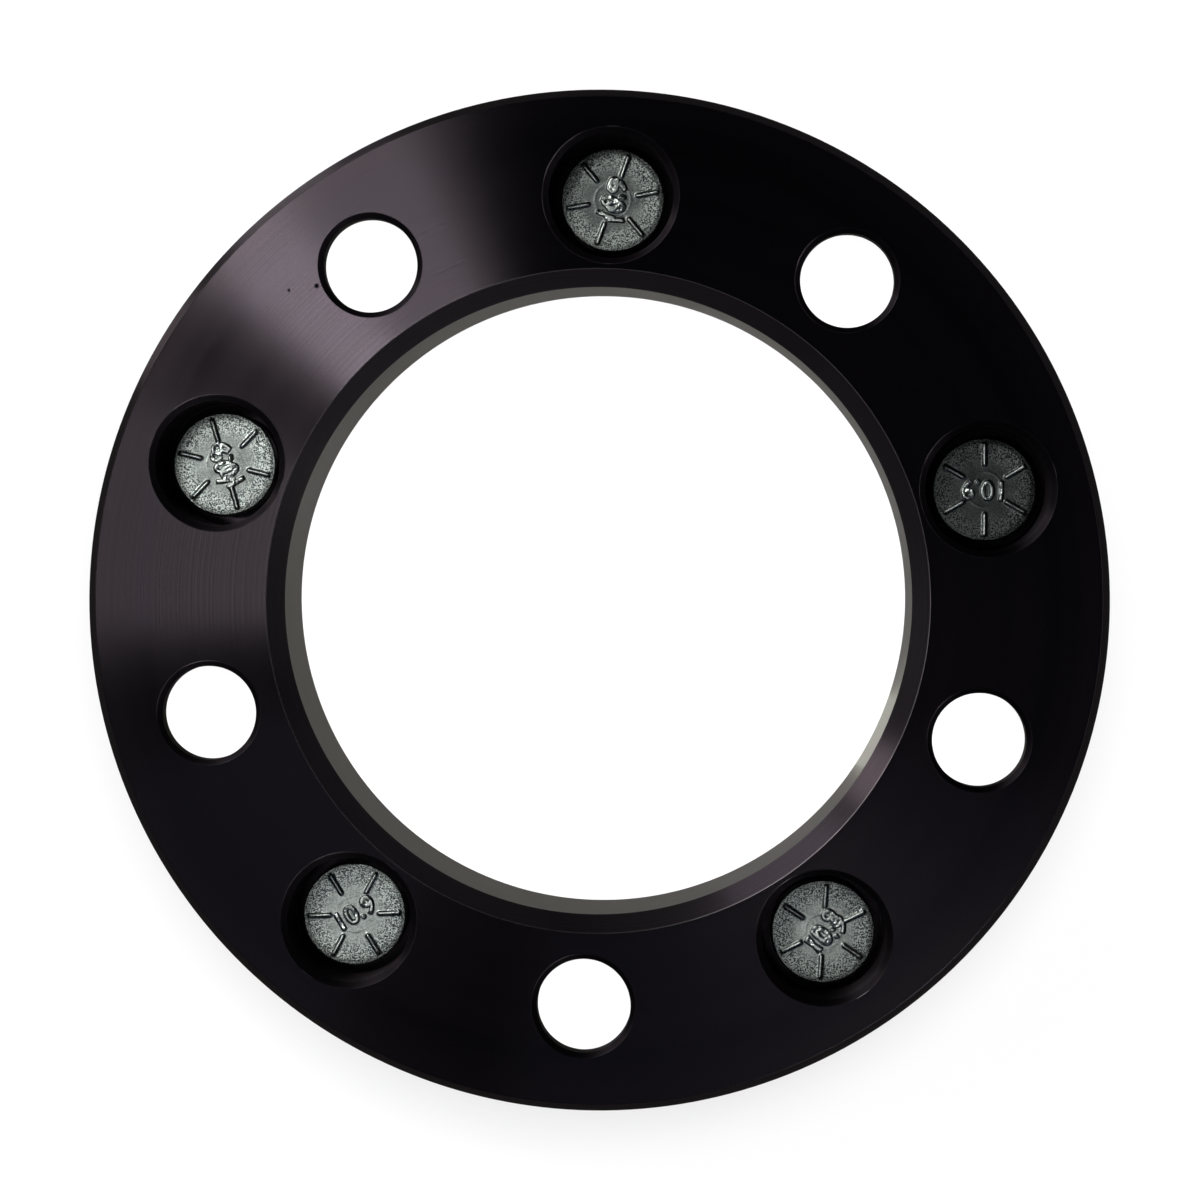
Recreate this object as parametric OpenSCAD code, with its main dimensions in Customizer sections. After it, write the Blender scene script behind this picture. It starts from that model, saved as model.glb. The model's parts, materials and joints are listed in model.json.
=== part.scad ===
// Bolt-on wheel spacer: a turned and drilled ring with wheel studs pressed in from its hub side.
// The origin is on the ring's axis, in the wheel face. The hub face looks up along +Z. The studs point
// down, past the wheel face, and the spacer stands on their tips. The first stud is on the +Y side.

/* [Ring] */
// Outside diameter of the ring
ring_diameter = 176; // [172:0.5:200]
// Thickness from the wheel face to the hub face
ring_thickness = 30; // [28:0.5:50]
// Chamfer on both outside edges
rim_chamfer = 1.2; // [0.3:0.1:2]

/* [Hub bore] */
// Diameter of the bore that passes over the hub
bore_diameter = 108.4; // [96:0.1:109]
// Chamfer of the bore at the hub face
bore_hub_chamfer = 3; // [0.5:0.1:3.2]
// Chamfer of the bore at the wheel face
bore_wheel_chamfer = 0.8; // [0.3:0.1:1]

/* [Bolt circle] */
// Diameter of the circle that carries the studs and the hub holes
bolt_circle = 139.7; // [139:0.1:144]
// Number of studs, and of hub holes between them
bolt_count = 5; // [4:1:6]

/* [Hub holes] */
// Diameter of the hole for a stud of the hub
hub_hole_diameter = 16.2; // [14:0.1:18]
// Chamfer of the hole at the hub face
hub_hole_chamfer = 0.85; // [0.3:0.05:1.5]
// Depth of the plain hole, from the hub face to the nut seat
hub_hole_land = 5.2; // [4:0.1:8]
// Included angle of the conical nut seat
nut_seat_angle = 60; // [50:1:90]
// Width of the conical seat, from the hole's wall to the seat's mouth
nut_seat_width = 2.4; // [1.5:0.1:3.5]
// Diameter of the pocket that takes the nut and its socket
nut_pocket_diameter = 27; // [26:0.1:28]
// Chamfer of the pocket at the wheel face
nut_pocket_chamfer = 0.5; // [0.2:0.1:0.8]

/* [Wheel studs] */
// Diameter of the head
head_diameter = 18.2; // [16:0.1:20]
// Thickness of the head
head_thickness = 4.8; // [3:0.1:6]
// Depth of the head's top below the hub face
head_recess = 10.7; // [4:0.1:11.5]
// Width of the shallow bevel around the top of the head
head_bevel_width = 0.8; // [0.3:0.1:1.5]
// Drop of that bevel
head_bevel_drop = 0.25; // [0.1:0.05:0.5]
// Chamfer of the head's outer edge
head_edge_chamfer = 0.5; // [0.2:0.1:0.8]
// Diameter over the thread's crests
thread_diameter = 12; // [10:0.1:14]
// How far the plain neck between knurl and thread lies below the thread's crests
neck_relief = 0.5; // [0.3:0.05:0.9]
// Gap from the wheel face to the first full thread
thread_start_gap = 0.3; // [0.1:0.05:0.4]
// How far a stud stands out of the wheel face
stud_reach = 28; // [20:0.5:40]
// Chamfer at the stud's tip
tip_chamfer = 1.5; // [0.5:0.1:2.5]

/* [Knurl] */
// Length of the knurl under the head
knurl_length = 10; // [6:0.5:10.5]
// How far the knurl's crests stand out from the thread's crests
knurl_rise = 0.45; // [0.4:0.05:0.8]
// Depth of the knurl's grooves
knurl_depth = 0.3; // [0.1:0.05:0.35]
// Number of teeth in the knurl
knurl_teeth = 36; // [24:1:48]

/* [Stud seats] */
// Gap around a head in its counterbore
head_clearance = 1.65; // [1:0.05:2.5]
// Gap between the knurl's crests and the press hole
press_clearance = 0.02; // [0.01:0.01:0.05]
// Chamfer of the counterbore at the hub face
counterbore_chamfer = 1; // [0.3:0.05:1.5]
// Chamfer of the press hole at the wheel face
press_hole_chamfer = 0.6; // [0.2:0.1:1.5]

/* [Head marks] */
// Number of raised bars on a head
mark_count = 6; // [3:1:8]
// Length of a bar
mark_length = 4.2; // [3:0.1:5]
// Width of a bar
mark_width = 0.8; // [0.5:0.05:1.2]
// Height of a bar above the flat of the head
mark_height = 0.3; // [0.1:0.05:0.5]
// Gap between a bar's outer end and the chamfer of the head's edge
mark_edge_gap = 0.4; // [0.1:0.05:1]

/* [Hidden] */
// Direction of the first bar on each head, in degrees from +X, as each stud was pressed in
stud_rolls = [12, 48, 4, 28, 32];
// Direction of the first stud, in degrees from +X
first_stud_angle = 90;
// How far a cutter runs past the face that it opens
overrun = 1;
$fn = 96;

ring_radius = ring_diameter / 2;
bore_radius = bore_diameter / 2;
hub_hole_radius = hub_hole_diameter / 2;
seat_mouth_radius = hub_hole_radius + nut_seat_width;
pocket_radius = nut_pocket_diameter / 2;
head_radius = head_diameter / 2;
head_bevel_radius = head_radius - head_edge_chamfer;
head_flat_radius = head_bevel_radius - head_bevel_width;
thread_radius = thread_diameter / 2;
neck_radius = thread_radius - neck_relief;
knurl_radius = thread_radius + knurl_rise;
press_hole_radius = knurl_radius + press_clearance;
counterbore_radius = head_radius + head_clearance;
mark_outer_radius = head_bevel_radius - mark_edge_gap;

wheel_face_z = 0;
hub_face_z = ring_thickness;
nut_seat_z = hub_face_z - hub_hole_land;
pocket_floor_z = nut_seat_z - nut_seat_width / tan(nut_seat_angle / 2);
head_top_z = hub_face_z - head_recess;
head_bevel_z = head_top_z - head_bevel_drop;
head_seat_z = head_top_z - head_thickness;
thread_start_z = wheel_face_z - thread_start_gap;
tip_z = wheel_face_z - stud_reach;

function stud_name(i) = str("wheel_stud_", i);
function stud_angle(i) = first_stud_angle + (i - 1) * 360 / bolt_count;
function hub_hole_angle(i) = stud_angle(i) + 180 / bolt_count;
function stud_roll(i) = stud_rolls[(i - 1) % len(stud_rolls)];

// Places its children on the bolt circle without turning them
module on_bolt_circle(angle) {
    translate(bolt_circle / 2 * [cos(angle), sin(angle), 0])
        children();
}

// The turned blank: a ring with chamfered edges
module ring_blank() {
    rotate_extrude()
        polygon([
            [bore_radius + bore_hub_chamfer, hub_face_z],
            [ring_radius - rim_chamfer, hub_face_z],
            [ring_radius, hub_face_z - rim_chamfer],
            [ring_radius, wheel_face_z + rim_chamfer],
            [ring_radius - rim_chamfer, wheel_face_z],
            [bore_radius + bore_wheel_chamfer, wheel_face_z],
            [bore_radius, wheel_face_z + bore_wheel_chamfer],
            [bore_radius, hub_face_z - bore_hub_chamfer]
        ]);
}

// What is bored away for one stud of the hub: the hole, the conical nut seat and the pocket
module hub_hole_cut() {
    rotate_extrude()
        polygon([
            [0, hub_face_z + overrun],
            [hub_hole_radius + hub_hole_chamfer + overrun, hub_face_z + overrun],
            [hub_hole_radius, hub_face_z - hub_hole_chamfer],
            [hub_hole_radius, nut_seat_z],
            [seat_mouth_radius, pocket_floor_z],
            [pocket_radius, pocket_floor_z],
            [pocket_radius, wheel_face_z + nut_pocket_chamfer],
            [pocket_radius + nut_pocket_chamfer + overrun, wheel_face_z - overrun],
            [0, wheel_face_z - overrun]
        ]);
}

// What is bored away for one wheel stud: the counterbore over its head and the press hole
module stud_seat_cut() {
    rotate_extrude()
        polygon([
            [0, hub_face_z + overrun],
            [counterbore_radius + counterbore_chamfer + overrun, hub_face_z + overrun],
            [counterbore_radius, hub_face_z - counterbore_chamfer],
            [counterbore_radius, head_seat_z],
            [press_hole_radius, head_seat_z],
            [press_hole_radius, wheel_face_z + press_hole_chamfer],
            [press_hole_radius + press_hole_chamfer + overrun, wheel_face_z - overrun],
            [0, wheel_face_z - overrun]
        ]);
}

// The ring: turned from an aluminium billet, bored for the hub's studs and its own, and anodised black
module spacer_ring() {
    color([0.05, 0.05, 0.055])
        difference() {
            ring_blank();
            for (i = [1 : bolt_count]) {
                on_bolt_circle(hub_hole_angle(i)) hub_hole_cut();
                on_bolt_circle(stud_angle(i)) stud_seat_cut();
            }
        }
}

// The stud's round form: a head, a plain neck, and the thread's cylinder with a chamfered tip
module stud_blank() {
    rotate_extrude()
        polygon([
            [0, head_top_z],
            [head_flat_radius, head_top_z],
            [head_bevel_radius, head_bevel_z],
            [head_radius, head_bevel_z - head_edge_chamfer],
            [head_radius, head_seat_z],
            [neck_radius, head_seat_z],
            [neck_radius, thread_start_z + neck_relief],
            [thread_radius, thread_start_z],
            [thread_radius, tip_z + tip_chamfer],
            [thread_radius - tip_chamfer, tip_z],
            [0, tip_z]
        ]);
}

// Straight knurl under the head, which grips the ring
module stud_knurl() {
    groove_radius = knurl_radius - knurl_depth;
    half_pitch = 180 / knurl_teeth;
    translate([0, 0, head_seat_z - knurl_length])
        linear_extrude(knurl_length)
            polygon([
                for (k = [0 : 2 * knurl_teeth - 1])
                    (k % 2 == 0 ? knurl_radius : groove_radius) * [cos(k * half_pitch), sin(k * half_pitch)]
            ]);
}

// One raised bar on top of the head, with round ends
module head_mark() {
    end_radius = mark_width / 2;
    straight = mark_length - mark_width;
    translate([mark_outer_radius - end_radius, 0, head_bevel_z])
        linear_extrude(head_bevel_drop + mark_height) {
            circle(end_radius);
            translate([-straight, -end_radius]) square([straight, mark_width]);
            translate([-straight, 0]) circle(end_radius);
        }
}

// A wheel stud: cold headed from steel, knurled, threaded and zinc plated
module wheel_stud(i) {
    color([0.62, 0.64, 0.63])
        on_bolt_circle(stud_angle(i))
            rotate(stud_roll(i)) {
                stud_blank();
                stud_knurl();
                for (k = [0 : mark_count - 1])
                    rotate(k * 360 / mark_count) head_mark();
            }
}

spacer_ring();
for (i = [1 : bolt_count])
    wheel_stud(i);
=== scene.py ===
import json
import math

import bpy
from mathutils import Matrix, Vector


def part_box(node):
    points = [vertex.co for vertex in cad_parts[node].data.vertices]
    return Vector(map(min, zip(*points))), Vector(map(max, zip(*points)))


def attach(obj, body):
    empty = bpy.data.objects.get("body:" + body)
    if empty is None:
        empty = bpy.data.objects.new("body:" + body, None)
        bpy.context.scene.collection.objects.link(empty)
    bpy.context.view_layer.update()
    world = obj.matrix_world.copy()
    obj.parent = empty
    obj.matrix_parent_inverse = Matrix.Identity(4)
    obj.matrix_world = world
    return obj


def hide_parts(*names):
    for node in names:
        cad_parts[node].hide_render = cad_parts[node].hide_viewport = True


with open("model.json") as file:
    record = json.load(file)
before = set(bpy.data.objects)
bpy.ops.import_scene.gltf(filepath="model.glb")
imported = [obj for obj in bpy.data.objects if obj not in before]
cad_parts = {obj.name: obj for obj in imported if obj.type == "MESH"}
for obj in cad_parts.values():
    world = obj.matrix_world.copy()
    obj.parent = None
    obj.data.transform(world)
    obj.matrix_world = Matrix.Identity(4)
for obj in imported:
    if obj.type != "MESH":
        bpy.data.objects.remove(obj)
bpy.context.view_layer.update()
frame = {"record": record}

# Spacer ring
# One piece, turned from an aluminium billet, bored for the hub, then drilled and counterbored on one bolt
# circle. It is anodised black over the fresh tool marks, and five wheel studs are pressed into it.

mm = 0.001
mount_sizes = {mount["name"]: mount["dims"] for mount in frame["record"]["mounts"]}
ring_low, ring_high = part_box("spacer_ring")
wheel_face = ring_low.z
hub_face = ring_high.z
ring_radius = ring_high.x
rim_chamfer = 1.2 * mm

bore_radius = mount_sizes["hub_bore"]["r_mm"] * mm
bore_hub_chamfer = 3 * mm
bore_wheel_chamfer = 0.8 * mm

bolt_count = mount_sizes["hub_holes"]["count"]
bolt_circle_radius = mount_sizes["hub_holes"]["pcd_mm"] / 2 * mm
first_stud_angle = math.radians(90)

hub_hole_radius = mount_sizes["hub_holes"]["hole_r_mm"] * mm
hub_hole_chamfer = 0.85 * mm
nut_seat_top = hub_face - 5.2 * mm
nut_seat_width = 2.4 * mm
nut_seat_half_angle = math.radians(30)
pocket_floor = nut_seat_top - nut_seat_width / math.tan(nut_seat_half_angle)
pocket_radius = 13.5 * mm
pocket_chamfer = 0.5 * mm

counterbore_radius = 10.75 * mm
counterbore_chamfer = 1 * mm
counterbore_floor = hub_face - 15.5 * mm
press_hole_radius = 6.47 * mm
press_hole_chamfer = 0.6 * mm

edge_radius = 0.22 * mm
edge_lead = 0.04 * mm
edge_steps = 3
face_margin = 0.3 * mm
level_tolerance = 0.1 * mm
merge_distance = 0.001 * mm


def rounded(corners, radius):
    """The outline's points, with each inner corner turned into an arc and a point close to both its ends."""
    points = [Vector(corners[0])]
    for before, corner, after in zip(corners, corners[1:], corners[2:]):
        corner = Vector(corner)
        back = (Vector(before) - corner).normalized()
        onward = (Vector(after) - corner).normalized()
        half_angle = back.angle(onward) / 2
        reach = radius / math.tan(half_angle)
        centre = corner + (back + onward).normalized() * radius / math.sin(half_angle)
        first_spoke = corner + back * reach - centre
        last_spoke = corner + onward * reach - centre
        points.append(corner + back * (reach + edge_lead))
        for step in range(edge_steps + 1):
            spoke = first_spoke.lerp(last_spoke, step / edge_steps).normalized()
            points.append(centre + spoke * radius)
        points.append(corner + onward * (reach + edge_lead))
    points.append(Vector(corners[-1]))
    return points


def turned(name, *stretches):
    """A mesh turned about the Z axis from stretches of outline, each with its own number of points around."""
    points = []
    rings = []
    for outline, around in stretches:
        for radius, height in outline:
            turns = [math.tau * k / around for k in range(around if radius > 0 else 1)]
            rings.append([len(points) + k for k in range(len(turns))])
            points += [(radius * math.cos(turn), radius * math.sin(turn), height) for turn in turns]

    def arc(ring, k, steps):
        per_step = max(1, len(ring) // steps)
        return [ring[j % len(ring)] for j in range(k * per_step, (k + 1) * per_step + 1)]

    faces = []
    for low, high in zip(rings, rings[1:]):
        steps = min(len(ring) for ring in (low, high) if len(ring) > 1)
        for k in range(steps):
            corners = arc(low, k, steps) + arc(high, k, steps)[::-1]
            faces.append(list(dict.fromkeys(corners)))
    mesh = bpy.data.meshes.new(name)
    mesh.from_pydata(points, [], faces, shade_flat=False)
    return mesh


def put(tree, kind, inputs=None, out=None, **options):
    """Adds a node, fills or links its inputs, and gives its first output or the named one."""
    node = tree.nodes.new(kind)
    for option, value in options.items():
        setattr(node, option, value)
    for key, value in (inputs or {}).items():
        for one in value if isinstance(value, list) else [value]:
            if isinstance(one, bpy.types.NodeSocket):
                tree.links.new(one, node.inputs[key])
            else:
                node.inputs[key].default_value = one
    if out:
        return node.outputs[out]
    return next((socket for socket in node.outputs if socket.enabled), None)


def calc(tree, operation, *values, **options):
    """A Math node on one to three values."""
    return put(tree, "ShaderNodeMath", dict(enumerate(values)), operation=operation, **options)


def vector_calc(tree, operation, *values, out=None):
    """A Vector Math node on one or two vectors."""
    return put(tree, "ShaderNodeVectorMath", dict(enumerate(values)), out, operation=operation)


def scaled(tree, vector, factor):
    """A vector or colour times a value."""
    return put(tree, "ShaderNodeVectorMath", {0: vector, "Scale": factor}, operation="SCALE")


def remap(tree, value, low, high, to_low=0.0, to_high=1.0, **options):
    """A Map Range node, which keeps the value between its two ends."""
    ends = {"Value": value, "From Min": low, "From Max": high, "To Min": to_low, "To Max": to_high}
    return put(tree, "ShaderNodeMapRange", ends, **options)


def blend(tree, share, first, second):
    """A Mix node on two values."""
    return put(tree, "ShaderNodeMix", {0: share, 2: first, 3: second})


def blend_colours(tree, share, first, second):
    """A Mix node on two colours."""
    return put(tree, "ShaderNodeMix", {0: share, 6: first, 7: second}, data_type="RGBA")


def new_tree(name, **inputs):
    """A Geometry Nodes tree with named inputs beside its geometry, and the sockets of its input node."""
    tree = bpy.data.node_groups.new(name, "GeometryNodeTree")
    for label, kind in {"Geometry": "Geometry", **inputs}.items():
        label = label.replace("_", " ")
        tree.interface.new_socket(label, in_out="INPUT", socket_type="NodeSocket" + kind)
    tree.interface.new_socket("Geometry", in_out="OUTPUT", socket_type="NodeSocketGeometry")
    return tree, tree.nodes.new("NodeGroupInput").outputs


def grown(name, mesh, tree, **values):
    """An object whose plain mesh is what the tree makes of the given mesh."""
    piece = bpy.data.objects.new(name, mesh)
    bpy.context.scene.collection.objects.link(piece)
    modifier = piece.modifiers.new("shape", "NODES")
    modifier.node_group = tree
    for item in tree.interface.items_tree:
        label = item.name.replace(" ", "_")
        if item.in_out == "INPUT" and label in values:
            modifier[item.identifier] = values[label]
    graph = bpy.context.evaluated_depsgraph_get()
    shaped = piece.evaluated_get(graph)
    made = bpy.data.meshes.new_from_object(shaped, preserve_all_data_layers=True, depsgraph=graph)
    piece.modifiers.remove(modifier)
    piece.data = made
    made.name = name
    return piece


def ring_tree():
    """The rim and bore walls, a wall for each hole and stud seat, and the two faces that join them all."""
    tree, given = new_tree("bored_ring", Bore_Wall="Object", Hub_Hole_Wall="Object", Stud_Seat_Wall="Object",
                           Bolt_Circle_Radius="Float", Bolt_Count="Int", First_Stud_Angle="Float",
                           Hub_Face="Float", Wheel_Face="Float", Finish="Material")

    def shape_of(label):
        return put(tree, "GeometryNodeObjectInfo", {"Object": given[label]}, "Geometry")

    def on_bolt_circle(label, angle):
        circle = put(tree, "GeometryNodeMeshCircle",
                     {"Vertices": given["Bolt Count"], "Radius": given["Bolt Circle Radius"]})
        turn = put(tree, "FunctionNodeAxisAngleToRotation", {"Axis": (0, 0, 1), "Angle": angle})
        places = put(tree, "GeometryNodeTransform", {"Geometry": circle, "Rotation": turn})
        walls = put(tree, "GeometryNodeInstanceOnPoints", {"Points": places, "Instance": shape_of(label)})
        return put(tree, "GeometryNodeRealizeInstances", {"Geometry": walls})

    half_step = calc(tree, "DIVIDE", math.pi, given["Bolt Count"])
    hub_hole_angle = calc(tree, "ADD", given["First Stud Angle"], half_step)
    walls = put(tree, "GeometryNodeJoinGeometry", {"Geometry": [
        given["Geometry"],
        shape_of("Bore Wall"),
        on_bolt_circle("Hub Hole Wall", hub_hole_angle),
        on_bolt_circle("Stud Seat Wall", given["First Stud Angle"])]})
    walls = put(tree, "GeometryNodeSetShadeSmooth", {0: walls, "Shade Smooth": True})

    neighbours = put(tree, "GeometryNodeInputMeshEdgeNeighbors")
    open_edge = calc(tree, "COMPARE", neighbours, 1.0, 0.5)
    place = put(tree, "GeometryNodeInputPosition")
    height = put(tree, "ShaderNodeSeparateXYZ", {0: place}, "Z")

    def face_at(level):
        at_level = calc(tree, "COMPARE", height, level, level_tolerance)
        edges = calc(tree, "MULTIPLY", open_edge, at_level)
        outline = put(tree, "GeometryNodeMeshToCurve", {"Mesh": walls, "Selection": edges})
        face = put(tree, "GeometryNodeFillCurve", {"Curve": outline})
        lift = put(tree, "ShaderNodeCombineXYZ", {"Z": level})
        face = put(tree, "GeometryNodeTransform", {"Geometry": face, "Translation": lift})
        return put(tree, "GeometryNodeSetShadeSmooth", {0: face, "Shade Smooth": False})

    hub_side = face_at(given["Hub Face"])
    wheel_side = put(tree, "GeometryNodeFlipFaces", {"Mesh": face_at(given["Wheel Face"])})
    whole = put(tree, "GeometryNodeJoinGeometry", {"Geometry": [walls, hub_side, wheel_side]})
    whole = put(tree, "GeometryNodeMergeByDistance", {"Geometry": whole, "Distance": merge_distance})
    whole = put(tree, "GeometryNodeRealizeInstances", {"Geometry": whole})
    whole = put(tree, "GeometryNodeSetMaterial", {"Geometry": whole, "Material": given["Finish"]})
    put(tree, "NodeGroupOutput", {"Geometry": whole})
    return tree


def new_material(name):
    """A node material, its tree and its shader."""
    material = bpy.data.materials.new(name)
    material.use_nodes = True
    return material, material.node_tree, material.node_tree.nodes["Principled BSDF"]


def black_anodising():
    """Black oxide over turned metal, with a highlight painted lighter on its rounded edges, and shade painted
    darker on the walls of the holes and seats and on the rim's chamfer.

    The tool's fine grooves all lean outwards, so the flat faces catch the light on one side.
    """
    anodised_dark = (0.033, 0.028, 0.034, 1)
    anodised_warm = (0.047, 0.038, 0.043, 1)
    # Painted highlight: a lighter colour painted on the rounded edges
    painted_edge_highlight = (0.17, 0.15, 0.16, 1)
    grazing_tint = (0.62, 0.63, 0.57, 1)
    flat_rise = 0.995
    edge_rise = 0.74
    slope_rise = 0.4
    groove_lean = 0.24
    groove_depth = 0.20
    groove_scale = 5200
    line_scale = 3900
    band_scale = 160
    band_share = 0.3
    tone_range = (0.35, 0.65)
    band_range = (0.3, 0.7)
    radial_bias = 0.001
    smoothest, roughest = 0.21, 0.24
    wall_roughness = 0.34
    hole_roughness = 0.5
    # Painted shade: how dark the walls of the holes and seats and the rim's chamfer are painted
    painted_shade_level = 0.45
    # Share of the painted edge highlight that is kept where shade is painted
    edge_highlight_in_shade = 0.25
    # Distance from the axis, direction in degrees and size of each nick in the hub face
    nicks = [(72.7 * mm, 133.6, 0.55 * mm), (75.4 * mm, 136.7, 0.35 * mm)]
    nick_shade = 0.02

    material, tree, shader = new_material("black_anodised")
    place = put(tree, "ShaderNodeTexCoord", out="Object")
    height = put(tree, "ShaderNodeSeparateXYZ", {0: place}, "Z")
    flat_place = vector_calc(tree, "MULTIPLY", place, (1, 1, 0))
    radius = vector_calc(tree, "LENGTH", flat_place, out="Value")
    radial = vector_calc(tree, "NORMALIZE", flat_place)

    normal = put(tree, "ShaderNodeNewGeometry", out="Normal")
    rise = put(tree, "ShaderNodeSeparateXYZ", {0: normal}, "Z")
    levelness = calc(tree, "ABSOLUTE", rise)
    faced = calc(tree, "GREATER_THAN", levelness, flat_rise)
    rounded_off = calc(tree, "GREATER_THAN", levelness, edge_rise)
    on_edge = calc(tree, "SUBTRACT", rounded_off, faced)
    from_bolt_circle = calc(tree, "ABSOLUTE", calc(tree, "SUBTRACT", radius, bolt_circle_radius))
    in_hole = calc(tree, "LESS_THAN", from_bolt_circle, counterbore_radius + counterbore_chamfer)
    on_rim = calc(tree, "GREATER_THAN", radius, ring_radius - rim_chamfer - face_margin)
    sloped = calc(tree, "GREATER_THAN", levelness, slope_rise)
    # Where shade is painted: in the holes and seats, and on the rim's chamfer
    painted_shade_region = calc(tree, "MAXIMUM", in_hole, calc(tree, "MULTIPLY", on_rim, sloped))

    up_slope = vector_calc(tree, "SUBTRACT", (0, 0, 1), scaled(tree, normal, rise))
    outward = scaled(tree, radial, radial_bias)
    across = vector_calc(tree, "NORMALIZE", vector_calc(tree, "ADD", up_slope, outward))
    feed = blend(tree, faced, height, radius)

    def turned_marks(scale, detail):
        return put(tree, "ShaderNodeTexNoise", {"W": feed, "Scale": scale, "Detail": detail},
                   "Fac", noise_dimensions="1D")

    grooves = turned_marks(groove_scale, 2.0)
    lines = turned_marks(line_scale, 2.0)
    bands = turned_marks(band_scale, 3.0)
    lean = calc(tree, "MULTIPLY", faced, groove_lean)
    wobble = calc(tree, "MULTIPLY", calc(tree, "SUBTRACT", grooves, 0.5), groove_depth)
    shift = scaled(tree, across, calc(tree, "ADD", lean, wobble))
    grooved = vector_calc(tree, "NORMALIZE", vector_calc(tree, "ADD", normal, shift))

    shade = 1.0
    for distance, bearing, size in nicks:
        bearing = math.radians(bearing)
        spot = (distance * math.cos(bearing), distance * math.sin(bearing), hub_face)
        away = vector_calc(tree, "DISTANCE", place, spot, out="Value")
        shade = calc(tree, "MULTIPLY", shade, remap(tree, away, 0.5 * size, size, nick_shade, 1.0))
    # Painted shade on those walls and chamfers, where they are not flat
    painted_shade_wall = calc(tree, "MULTIPLY", painted_shade_region, calc(tree, "SUBTRACT", 1.0, faced))
    shade = calc(tree, "MULTIPLY", shade, blend(tree, painted_shade_wall, 1.0, painted_shade_level))
    # Painted highlight on the rounded edges, weaker where shade is painted
    painted_highlight_share = calc(tree, "MULTIPLY", on_edge, blend(tree, painted_shade_region, 1.0, edge_highlight_in_shade))

    tone = remap(tree, blend(tree, band_share, lines, bands), *tone_range)
    colour = blend_colours(tree, tone, anodised_dark, anodised_warm)
    colour = blend_colours(tree, painted_highlight_share, colour, painted_edge_highlight)
    colour = scaled(tree, colour, shade)
    on_face = remap(tree, bands, *band_range, smoothest, roughest)
    on_wall = blend(tree, in_hole, wall_roughness, hole_roughness)
    roughness = blend(tree, faced, on_wall, on_face)

    tree.links.new(colour, shader.inputs["Base Color"])
    tree.links.new(roughness, shader.inputs["Roughness"])
    tree.links.new(grooved, shader.inputs["Normal"])
    tree.links.new(across, shader.inputs["Tangent"])
    shader.inputs["Metallic"].default_value = 1.0
    shader.inputs["Anisotropic"].default_value = 1.0
    shader.inputs["Specular Tint"].default_value = grazing_tint
    return material


rim_wall = rounded([
    (ring_radius - rim_chamfer - face_margin, wheel_face),
    (ring_radius - rim_chamfer, wheel_face),
    (ring_radius, wheel_face + rim_chamfer),
    (ring_radius, hub_face - rim_chamfer),
    (ring_radius - rim_chamfer, hub_face),
    (ring_radius - rim_chamfer - face_margin, hub_face)], edge_radius)
bore_wall = rounded([
    (bore_radius + bore_hub_chamfer + face_margin, hub_face),
    (bore_radius + bore_hub_chamfer, hub_face),
    (bore_radius, hub_face - bore_hub_chamfer),
    (bore_radius, wheel_face + bore_wheel_chamfer),
    (bore_radius + bore_wheel_chamfer, wheel_face),
    (bore_radius + bore_wheel_chamfer + face_margin, wheel_face)], edge_radius)
hub_hole_wall = rounded([
    (hub_hole_radius + hub_hole_chamfer + face_margin, hub_face),
    (hub_hole_radius + hub_hole_chamfer, hub_face),
    (hub_hole_radius, hub_face - hub_hole_chamfer),
    (hub_hole_radius, nut_seat_top),
    (hub_hole_radius + nut_seat_width, pocket_floor),
    (pocket_radius, pocket_floor),
    (pocket_radius, wheel_face + pocket_chamfer),
    (pocket_radius + pocket_chamfer, wheel_face),
    (pocket_radius + pocket_chamfer + face_margin, wheel_face)], edge_radius)
stud_seat_wall = rounded([
    (counterbore_radius + counterbore_chamfer + face_margin, hub_face),
    (counterbore_radius + counterbore_chamfer, hub_face),
    (counterbore_radius, hub_face - counterbore_chamfer),
    (counterbore_radius, counterbore_floor),
    (press_hole_radius, counterbore_floor),
    (press_hole_radius, wheel_face + press_hole_chamfer),
    (press_hole_radius + press_hole_chamfer, wheel_face),
    (press_hole_radius + press_hole_chamfer + face_margin, wheel_face)], edge_radius)

rim_points = 256
hole_points = 96
inner_walls = {
    "Bore_Wall": (bore_wall, rim_points),
    "Hub_Hole_Wall": (hub_hole_wall, hole_points),
    "Stud_Seat_Wall": (stud_seat_wall, hole_points)}
wall_objects = {}
for label, stretch in inner_walls.items():
    wall_objects[label] = bpy.data.objects.new(label, turned(label, stretch))
    bpy.context.scene.collection.objects.link(wall_objects[label])
ring = grown("turned_ring", turned("rim_wall", (rim_wall, rim_points)), ring_tree(),
             Bolt_Circle_Radius=bolt_circle_radius, Bolt_Count=bolt_count, First_Stud_Angle=first_stud_angle,
             Hub_Face=hub_face, Wheel_Face=wheel_face, Finish=black_anodising(), **wall_objects)
for wall in wall_objects.values():
    bpy.data.objects.remove(wall)
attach(ring, "root")
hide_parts("spacer_ring")

# Wheel studs
# Five steel studs, cold headed with six raised bars and a plain number on top, knurled under the head and
# thread rolled. They are zinc plated and pressed into the ring from its hub side.

stud_low, stud_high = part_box("wheel_stud_1")
stud_tip = stud_low.z
mark_height = 0.3 * mm
head_top = stud_high.z - mark_height
head_seat = counterbore_floor
head_radius = 9.1 * mm
head_edge = 0.25 * mm
head_bevel_width = 0.8 * mm
head_bevel_drop = 0.1 * mm
bevel_radius = head_radius - head_edge
bevel_low = head_top - head_bevel_drop

bar_count = 6
bar_width = 0.8 * mm
bar_outer = 8.2 * mm
bar_inner = 4.0 * mm
bar_softness = 1.5
number_edge = 0.24 * mm
wear_scale = 800
wear_range = (0.38, 0.55)
worn_height = 0.45
die_ring_radius = 3.1 * mm
die_ring_height = 0.02 * mm
die_ring_edge = 0.25 * mm
smooth_radius = 4.5 * mm
grainy_radius = 6.5 * mm
middle_grain = 0.25
shank_grain = 0.2

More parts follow.
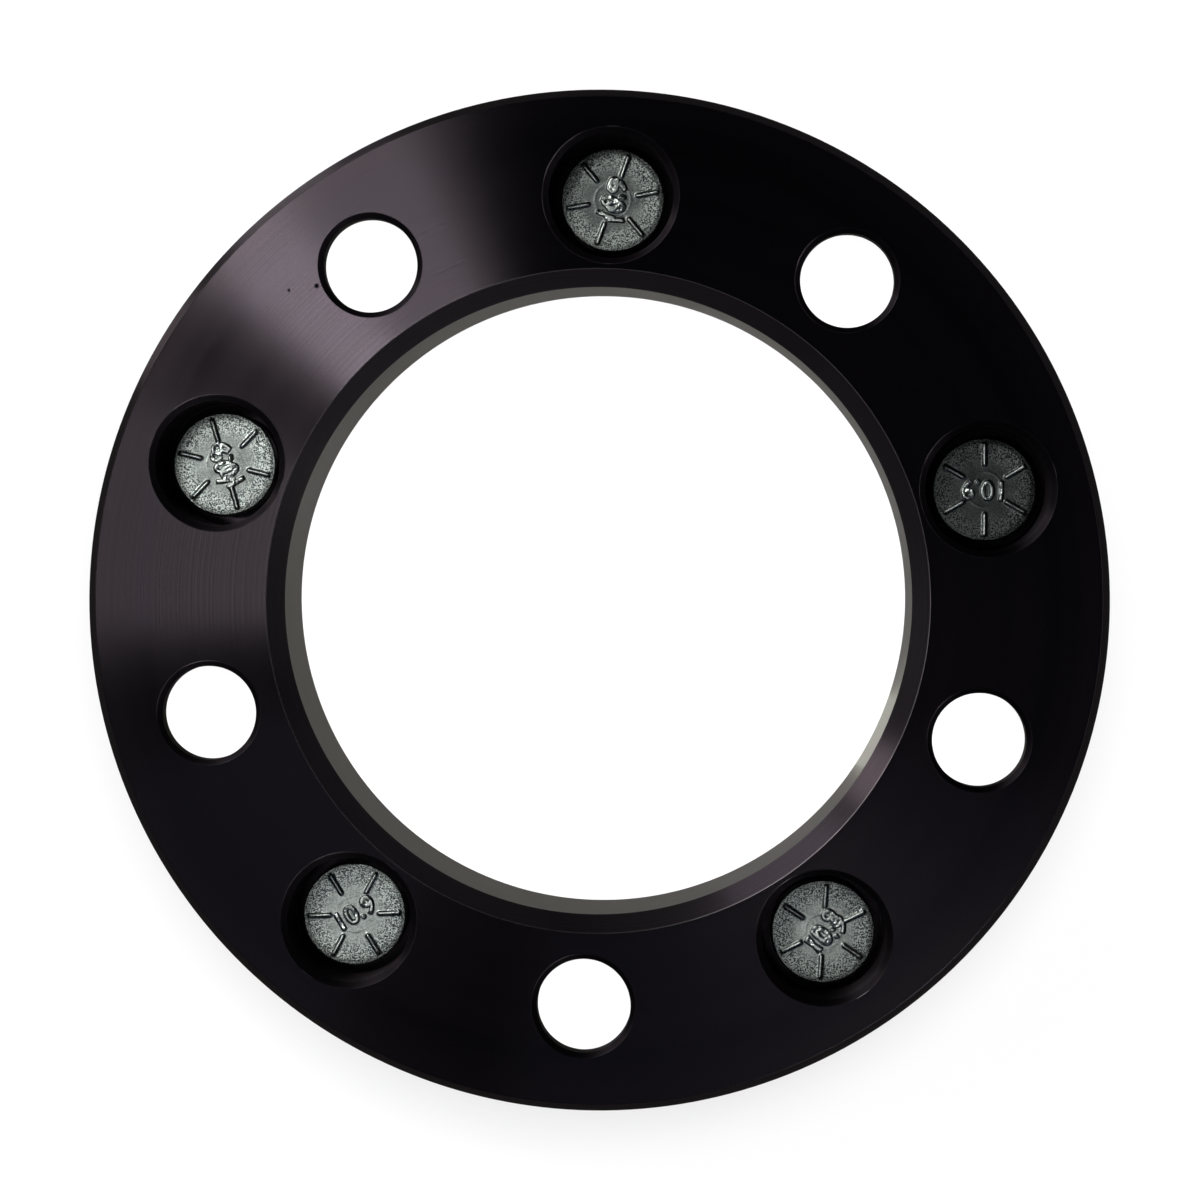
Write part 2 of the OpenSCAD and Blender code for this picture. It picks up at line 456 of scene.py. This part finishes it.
thread_radius = mount_sizes["wheel_studs"]["stud_r_mm"] * mm
thread_pitch = 1.5 * mm
thread_depth = 0.92 * mm
crest_share = 0.12
thread_start = wheel_face - 0.3 * mm
thread_run_out = 2 * thread_pitch
tip_chamfer = 1.5 * mm
neck_relief = 0.5 * mm
neck_radius = thread_radius - neck_relief
knurl_radius = 6.45 * mm
knurl_depth = 0.3 * mm
knurl_teeth = 36
knurl_low = head_seat - 10 * mm
knurl_lead = 0.35 * mm
tolerance = 0.01 * mm


def divided(outline, step):
    """The outline with points added so that none lies further than step from the next."""
    points = [Vector(outline[0])]
    for start, end in zip(outline, outline[1:]):
        parts = max(1, math.ceil((Vector(end) - Vector(start)).length / step))
        points += [Vector(start).lerp(Vector(end), k / parts) for k in range(1, parts + 1)]
    return points


def stud_tree():
    """Raises the bars and the number on the head, and cuts the knurl and the right-hand thread."""
    tree, given = new_tree("stud_relief", Roll="Float", Number="String", Number_Size="Float",
                           Number_Turn="Float", Number_Shift="Vector", Second_Turn="Float",
                           Second_Shift="Vector", Second_Strike="Float", Mark_Height="Float",
                           Bar_Count="Int", Bar_Inner="Float", Bar_Outer="Float", Bar_Width="Float",
                           Die_Ring_Radius="Float", Knurl_Teeth="Int", Knurl_Depth="Float",
                           Pitch="Float", Thread_Depth="Float", Tone="Float", Finish="Material")
    place = put(tree, "GeometryNodeInputPosition")
    flat_place = vector_calc(tree, "MULTIPLY", place, (1, 1, 0))
    axes = put(tree, "ShaderNodeSeparateXYZ", {0: place}).node.outputs
    height = axes["Z"]
    radius = vector_calc(tree, "LENGTH", flat_place, out="Value")
    angle = calc(tree, "ARCTAN2", axes["Y"], axes["X"])
    own_angle = calc(tree, "SUBTRACT", angle, given["Roll"])

    def soft_edge(distance, width):
        return remap(tree, distance, 0.0, width, 1.0, 0.0, interpolation_type="SMOOTHSTEP")

    half_sector = calc(tree, "DIVIDE", math.pi, given["Bar Count"])
    folded = calc(tree, "WRAP", own_angle, half_sector, calc(tree, "MULTIPLY", half_sector, -1.0))
    along = calc(tree, "MULTIPLY", radius, calc(tree, "COSINE", folded))
    aside = calc(tree, "MULTIPLY", radius, calc(tree, "SINE", folded))
    half_width = calc(tree, "MULTIPLY", given["Bar Width"], 0.5)
    nearest = put(tree, "ShaderNodeClamp", {
        "Value": along,
        "Min": calc(tree, "ADD", given["Bar Inner"], half_width),
        "Max": calc(tree, "SUBTRACT", given["Bar Outer"], half_width)})
    beyond = calc(tree, "SUBTRACT", along, nearest)
    squares = calc(tree, "ADD", calc(tree, "POWER", beyond, 2.0), calc(tree, "POWER", aside, 2.0))
    bars = soft_edge(calc(tree, "SQRT", squares), calc(tree, "MULTIPLY", half_width, bar_softness))

    letters = put(tree, "GeometryNodeStringToCurves",
                  {"String": given["Number"], "Size": given["Number Size"]},
                  align_x="CENTER", align_y="MIDDLE")
    letters = put(tree, "GeometryNodeRealizeInstances", {"Geometry": letters})
    number = put(tree, "GeometryNodeFillCurve", {"Curve": letters})
    worn = put(tree, "ShaderNodeTexNoise", {"Vector": place, "Scale": wear_scale, "Detail": 2.0}, "Fac")
    left_by_wear = remap(tree, worn, *wear_range, worn_height, 1.0)

    def strike(turn, shift):
        rotation = put(tree, "FunctionNodeAxisAngleToRotation", {"Axis": (0, 0, 1), "Angle": turn})
        struck = put(tree, "GeometryNodeTransform",
                     {"Geometry": number, "Rotation": rotation, "Translation": shift})
        away = put(tree, "GeometryNodeProximity", {0: struck, "Sample Position": flat_place}, "Distance",
                   target_element="FACES")
        return calc(tree, "MULTIPLY", soft_edge(away, number_edge), left_by_wear)

    first_strike = strike(given["Number Turn"], given["Number Shift"])
    second_strike = strike(given["Second Turn"], given["Second Shift"])
    second_strike = calc(tree, "MULTIPLY", second_strike, given["Second Strike"])
    raised = calc(tree, "MAXIMUM", bars, calc(tree, "MAXIMUM", first_strike, second_strike))
    on_top = calc(tree, "GREATER_THAN", height, bevel_low - tolerance)
    raised = calc(tree, "MULTIPLY", raised, on_top)
    mark_top = calc(tree, "ADD", given["Mark Height"], head_top)
    from_ring = calc(tree, "ABSOLUTE", calc(tree, "SUBTRACT", radius, given["Die Ring Radius"]))
    die_ring = calc(tree, "MULTIPLY", soft_edge(from_ring, die_ring_edge), on_top)
    die_marked = calc(tree, "MULTIPLY_ADD", die_ring, die_ring_height, height)
    new_height = blend(tree, raised, die_marked, mark_top)
    grain = remap(tree, radius, smooth_radius, grainy_radius, middle_grain, 1.0)
    grain = calc(tree, "MULTIPLY", grain, blend(tree, on_top, shank_grain, 1.0))

    teeth_passed = calc(tree, "DIVIDE", calc(tree, "MULTIPLY", own_angle, given["Knurl Teeth"]), math.tau)
    in_tooth = calc(tree, "MULTIPLY_ADD", calc(tree, "FRACT", teeth_passed), 2.0, -1.0)
    tooth_drop = calc(tree, "SUBTRACT", 1.0, calc(tree, "ABSOLUTE", in_tooth))
    over_neck = calc(tree, "GREATER_THAN", radius, knurl_radius - knurl_lead - tolerance)
    under_crest = calc(tree, "LESS_THAN", radius, knurl_radius + tolerance)
    under_head = calc(tree, "LESS_THAN", height, head_seat + tolerance)
    in_knurl = calc(tree, "MULTIPLY", calc(tree, "MULTIPLY", over_neck, under_crest), under_head)
    knurl_cut = calc(tree, "MULTIPLY", calc(tree, "MULTIPLY", tooth_drop, given["Knurl Depth"]), in_knurl)
    knurled = calc(tree, "SUBTRACT", radius, knurl_cut)

    pitches = calc(tree, "DIVIDE", height, given["Pitch"])
    turns = calc(tree, "SUBTRACT", pitches, calc(tree, "DIVIDE", angle, math.tau))
    flank = calc(tree, "ABSOLUTE", calc(tree, "MULTIPLY_ADD", calc(tree, "FRACT", turns), 2.0, -1.0))
    groove = remap(tree, flank, crest_share, 1.0 - crest_share, 1.0, 0.0)
    run_out = remap(tree, height, thread_start - thread_run_out, thread_start, 1.0, 0.0)
    thread_cut = calc(tree, "MULTIPLY", calc(tree, "MULTIPLY", groove, given["Thread Depth"]), run_out)
    threaded = calc(tree, "MINIMUM", knurled, calc(tree, "SUBTRACT", thread_radius, thread_cut))
    in_thread = calc(tree, "LESS_THAN", height, thread_start + tolerance)
    new_radius = blend(tree, in_thread, knurled, threaded)

    scale = calc(tree, "DIVIDE", new_radius, calc(tree, "MAXIMUM", radius, merge_distance))
    moved = put(tree, "ShaderNodeCombineXYZ", {
        "X": calc(tree, "MULTIPLY", axes["X"], scale),
        "Y": calc(tree, "MULTIPLY", axes["Y"], scale),
        "Z": new_height})
    stud = given["Geometry"]
    # The tone carries each head's painted shade and light into its material
    for label, value in (("grain", grain), ("raised", raised), ("tone", given["Tone"])):
        stud = put(tree, "GeometryNodeStoreNamedAttribute", {"Geometry": stud, "Name": label, "Value": value},
                   data_type="FLOAT")
    stud = put(tree, "GeometryNodeSetPosition", {"Geometry": stud, "Position": moved})
    stud = put(tree, "GeometryNodeRealizeInstances", {"Geometry": stud})
    stud = put(tree, "GeometryNodeSetMaterial", {"Geometry": stud, "Material": given["Finish"]})
    put(tree, "NodeGroupOutput", {"Geometry": stud})
    return tree


def zinc_plating():
    """Dull zinc over forged steel: smooth in the head's middle, grainy at its rim, brighter on the marks,
    with each head's own painted shade and light.
    """
    zinc_dark = (0.06, 0.072, 0.072, 1)
    zinc_pale = (0.755, 0.82, 0.765, 1)
    cloud_scale = 420
    grain_scale = 3900
    wave_scale = 170
    wave_share = 1.25
    grain_share = 0.5
    mark_gleam = 0.4
    cloud_range = (0.25, 0.75)
    cloud_tones = (0.28, 0.62)
    speckle_range = (0.44, 0.56)
    relief_strength = 0.7
    relief_height = 0.2 * mm
    roughness = 0.28

    material, tree, shader = new_material("zinc_steel")
    place = put(tree, "ShaderNodeTexCoord", out="Object")
    grainy = put(tree, "ShaderNodeAttribute", out="Fac", attribute_name="grain")
    raised = put(tree, "ShaderNodeAttribute", out="Fac", attribute_name="raised")
    head_painted_light = put(tree, "ShaderNodeAttribute", out="Fac", attribute_name="tone")

    def patches(scale, detail):
        return put(tree, "ShaderNodeTexNoise",
                   {"Vector": place, "Scale": scale, "Detail": detail, "Roughness": 0.6}, "Fac")

    clouds = patches(cloud_scale, 4.0)
    grain = patches(grain_scale, 2.0)
    waves = patches(wave_scale, 1.0)
    cloudy = remap(tree, clouds, *cloud_range, *cloud_tones)
    speckled = remap(tree, grain, *speckle_range)
    tone = blend(tree, grainy, cloudy, speckled)
    tone = calc(tree, "MULTIPLY_ADD", raised, mark_gleam, tone, use_clamp=True)
    colour = blend_colours(tree, tone, zinc_dark, zinc_pale)
    # Painted shade and light: outside its marks, each head's colour is scaled by its own factor, standing in
    # for how the light falls on that head
    colour = scaled(tree, colour, blend(tree, raised, head_painted_light, 1.0))
    fine_relief = calc(tree, "MULTIPLY", grain, calc(tree, "MULTIPLY", grainy, grain_share))
    relief = calc(tree, "MULTIPLY_ADD", waves, wave_share, fine_relief)
    bump = put(tree, "ShaderNodeBump",
               {"Strength": relief_strength, "Distance": relief_height, "Height": relief})

    tree.links.new(colour, shader.inputs["Base Color"])
    tree.links.new(bump, shader.inputs["Normal"])
    shader.inputs["Roughness"].default_value = roughness
    shader.inputs["Metallic"].default_value = 1.0
    return material


shank = rounded([
    (0, stud_tip),
    (thread_radius - tip_chamfer, stud_tip),
    (thread_radius, stud_tip + tip_chamfer),
    (thread_radius, thread_start),
    (neck_radius, thread_start + neck_relief),
    (neck_radius, knurl_low - knurl_lead)], edge_radius)
head = rounded([
    (neck_radius, knurl_low),
    (knurl_radius - knurl_lead, knurl_low),
    (knurl_radius, knurl_low + knurl_lead),
    (knurl_radius, head_seat),
    (head_radius, head_seat),
    (head_radius, bevel_low - head_edge),
    (bevel_radius, bevel_low),
    (bevel_radius - head_bevel_width, head_top),
    (0, head_top)], edge_radius)
thread_step = thread_pitch / 10
head_step = 0.14 * mm
shank_points = 72
head_points = 288
top_start = next(k for k, (radius, height) in enumerate(head) if height > head_seat + head_edge)
blank = turned("stud_blank",
               (divided(shank, thread_step), shank_points),
               (head[:top_start], head_points),
               (divided(head[top_start:], head_step), head_points))
stud_finish = zinc_plating()
relief = stud_tree()

number = "10.9"
number_size = 4.7 * mm
second_shift = (0.7 * mm, -0.6 * mm, 0)
# In degrees, the bars' direction, the number's and the second strike's where there is one; then the factor of
# painted shade and light on the head, for how the light falls on it
stud_marks = [
    (12, 70, 88, 0.62),
    (48, 100, 122, 1.0),
    (4, 33, None, 1.15),
    (28, 60, 40, 1.05),
    (32, 180, None, 0.35)]
for k, (bars_turn, number_turn, second_turn, head_painted_light_level) in enumerate(stud_marks):
    stud = grown(f"stud_{k + 1}", blank, relief,
                 Roll=math.radians(bars_turn), Number=number, Number_Size=number_size,
                 Number_Turn=math.radians(number_turn), Number_Shift=(0, 0, 0),
                 Second_Turn=math.radians(second_turn or 0), Second_Shift=second_shift,
                 Second_Strike=1.0 if second_turn else 0.0, Mark_Height=mark_height,
                 Bar_Count=bar_count, Bar_Inner=bar_inner, Bar_Outer=bar_outer, Bar_Width=bar_width,
                 Die_Ring_Radius=die_ring_radius, Knurl_Teeth=knurl_teeth, Knurl_Depth=knurl_depth,
                 Pitch=thread_pitch, Thread_Depth=thread_depth, Tone=head_painted_light_level, Finish=stud_finish)
    bearing = first_stud_angle + k * math.tau / bolt_count
    stud.data.transform(Matrix.Translation(
        (bolt_circle_radius * math.cos(bearing), bolt_circle_radius * math.sin(bearing), 0)))
    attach(stud, "root")
    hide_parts(f"wheel_stud_{k + 1}")

# Floor and backdrop
# A large sheet of white card under the spacer, which stands on its stud tips. It glows, as a lit studio sweep
# does, and the room around it is pale at eye level and dark overhead.

floor_half = 20.0
floor_tone = (0.1, 0.1, 0.1, 1)
floor_glow = 0.77
floor_roughness = 0.9
floor_corners = [
    (-floor_half, -floor_half, stud_tip),
    (floor_half, -floor_half, stud_tip),
    (floor_half, floor_half, stud_tip),
    (-floor_half, floor_half, stud_tip)]
floor_mesh = bpy.data.meshes.new("floor")
floor_mesh.from_pydata(floor_corners, [], [(0, 1, 2, 3)])
floor = bpy.data.objects.new("floor", floor_mesh)
bpy.context.scene.collection.objects.link(floor)
card, _, card_shader = new_material("white_card")
card_shader.inputs["Base Color"].default_value = floor_tone
card_shader.inputs["Roughness"].default_value = floor_roughness
card_shader.inputs["Specular IOR Level"].default_value = 0.0
card_shader.inputs["Emission Color"].default_value = (1, 1, 1, 1)
card_shader.inputs["Emission Strength"].default_value = floor_glow
floor_mesh.materials.append(card)

room_colour = (0.66, 0.71, 1, 1)
eye_level_glow = 0.10
overhead_glow = 0.018
glow_range = (0.10, 0.60)
room = bpy.data.worlds.new("studio")
room.use_nodes = True
bpy.context.scene.world = room
room_tree = room.node_tree
direction = put(room_tree, "ShaderNodeTexCoord", out="Generated")
elevation = put(room_tree, "ShaderNodeSeparateXYZ", {0: direction}, "Z")
room_level = remap(room_tree, elevation, *glow_range, eye_level_glow, overhead_glow,
                   interpolation_type="SMOOTHSTEP")
sky = room_tree.nodes["Background"].inputs
sky["Color"].default_value = room_colour
room_tree.links.new(room_level, sky["Strength"])

# Camera
# It looks at the hub face almost straight on, from a little to the right of the ring's axis and a little
# above it in the picture. The picture's own directions follow from how far the part is turned in it.

image_turn = math.radians(1.94)
image_right = Vector((math.cos(image_turn), math.sin(image_turn), 0))
image_up = Vector((-math.sin(image_turn), math.cos(image_turn), 0))
upward = Vector((0, 0, 1))
hub_centre = upward * hub_face
camera_height = 660.7 * mm
camera_right = 22.3 * mm
camera_up = 12.1 * mm
aim_right = 0.49 * mm
aim_up = 0.24 * mm
half_frame = 103.13 * mm


def looking(place, backward, level):
    """The matrix of a camera or light that looks away from backward, with its width along level."""
    axes = Matrix((level, backward.cross(level), backward)).transposed()
    return Matrix.Translation(place) @ axes.to_4x4()


lens = bpy.data.cameras.new("camera")
lens.sensor_fit = "HORIZONTAL"
lens.angle = 2 * math.atan(half_frame / camera_height)
camera = bpy.data.objects.new("camera", lens)
bpy.context.scene.collection.objects.link(camera)
bpy.context.scene.camera = camera
eye = hub_centre + image_right * camera_right + image_up * camera_up + upward * camera_height
aim = hub_centre + image_right * aim_right + image_up * aim_up
eye_back = (eye - aim).normalized()
eye_level = image_up.cross(eye_back).normalized()
camera.matrix_world = looking(eye, eye_back, eye_level)
bpy.context.scene.view_settings.view_transform = "Standard"

# Lights
# Softboxes light the metal from above and from the horizon, at bearings in the picture, in degrees from its
# right side towards its top. Other lamps light only the card: they whiten it in the bore and the holes, and
# give the soft shadow under the ring's lower edge.


def level_way(bearing):
    """The level direction at a bearing in the picture."""
    bearing = math.radians(bearing)
    return image_right * math.cos(bearing) + image_up * math.sin(bearing)


def lamp(name, kind, watts, place, backward, level):
    """A light at a place, which shines away from backward, with its width along level."""
    light = bpy.data.lights.new(name, kind)
    light.energy = watts
    holder = bpy.data.objects.new(name, light)
    bpy.context.scene.collection.objects.link(holder)
    holder.matrix_world = looking(place, backward, level)
    return holder


def panel(holder, width, depth, colour=(1, 1, 1)):
    """Makes a light a rectangle of this size and colour."""
    holder.data.shape = "RECTANGLE"
    holder.data.size = width
    holder.data.size_y = depth
    holder.data.color = colour


def softbox(name, bearing, off_axis, distance, width, depth, watts, colour=(1, 1, 1)):
    """A panel that faces the middle of the hub face, from an angle off the ring's axis."""
    sideways = level_way(bearing)
    off_axis = math.radians(off_axis)
    towards = sideways * math.sin(off_axis) + upward * math.cos(off_axis)
    holder = lamp(name, "AREA", watts, hub_centre + towards * distance, towards, upward.cross(sideways))
    panel(holder, width, depth, colour)
    return holder


def card_spot(name, watts, place, backward, beam_radius, beam_length, softness, lamp_radius):
    """A spot light for the card, which isn't seen in the metal."""
    level = image_up.cross(backward).normalized()
    holder = lamp(name, "SPOT", watts, place, backward, level)
    holder.data.spot_size = 2 * math.atan(beam_radius / beam_length)
    holder.data.spot_blend = softness
    holder.data.shadow_soft_size = lamp_radius
    holder.visible_glossy = False
    return holder


# Bearing and angle off the axis in degrees; distance, width and depth in metres; watts; colour
softbox("key", 129.5, 30, 1.0, 0.29, 0.25, 1.42)
softbox("key_core", 137.5, 30, 1.0, 0.10, 0.25, 0.66)
softbox("key_low", 150, 84, 1.2, 0.22, 0.5, 4.2, (1, 0.95, 0.92))
softbox("low_fill", 128, 84, 1.2, 0.5, 0.5, 3.5, (0.92, 0.94, 1))
softbox("left_fill", 172, 30, 1.0, 0.26, 0.25, 0.7)
softbox("lower_left", 218, 30, 1.0, 0.34, 0.25, 0.09, (0.68, 0.77, 1))
softbox("right_fill", 296, 40, 1.0, 1.0, 0.25, 0.2, (0.68, 0.77, 1))
softbox("head_light", 211, 10, 1.2, 0.30, 0.18, 0.31)
softbox("head_fill", 290, 9.4, 1.2, 0.14, 0.14, 0.15)
softbox("rim_light", 130, 96, 0.42, 0.10, 0.05, 0.5)
shadow_light = softbox("shadow_light", 72, 8, 1.2, 0.34, 0.30, 36)
shadow_light.visible_glossy = False

lens_beam_radius = 82 * mm
lens_lamp_radius = 2 * mm
lens_back = (eye - hub_centre).normalized()
card_spot("lens_light", 44, eye, lens_back, lens_beam_radius, camera_height, 0.1, lens_lamp_radius)

side_from_axis = 25 * mm
side_height = 1.0
side_beam_radius = 45 * mm
side_lamp_radius = 30 * mm
side_place = level_way(15) * side_from_axis + upward * side_height
card_spot("side_light", 240, side_place, upward, side_beam_radius, side_height, 0.5, side_lamp_radius)

gleam_from_axis = 35 * mm
gleam_lift = 1 * mm
gleam_width = 30 * mm
gleam_depth = 12 * mm
gleam_way = level_way(333)
gleam_place = gleam_way * gleam_from_axis + upward * (stud_tip + gleam_lift)
gleam = lamp("gleam_card", "AREA", 0.0065, gleam_place, -upward, gleam_way)
panel(gleam, gleam_width, gleam_depth)
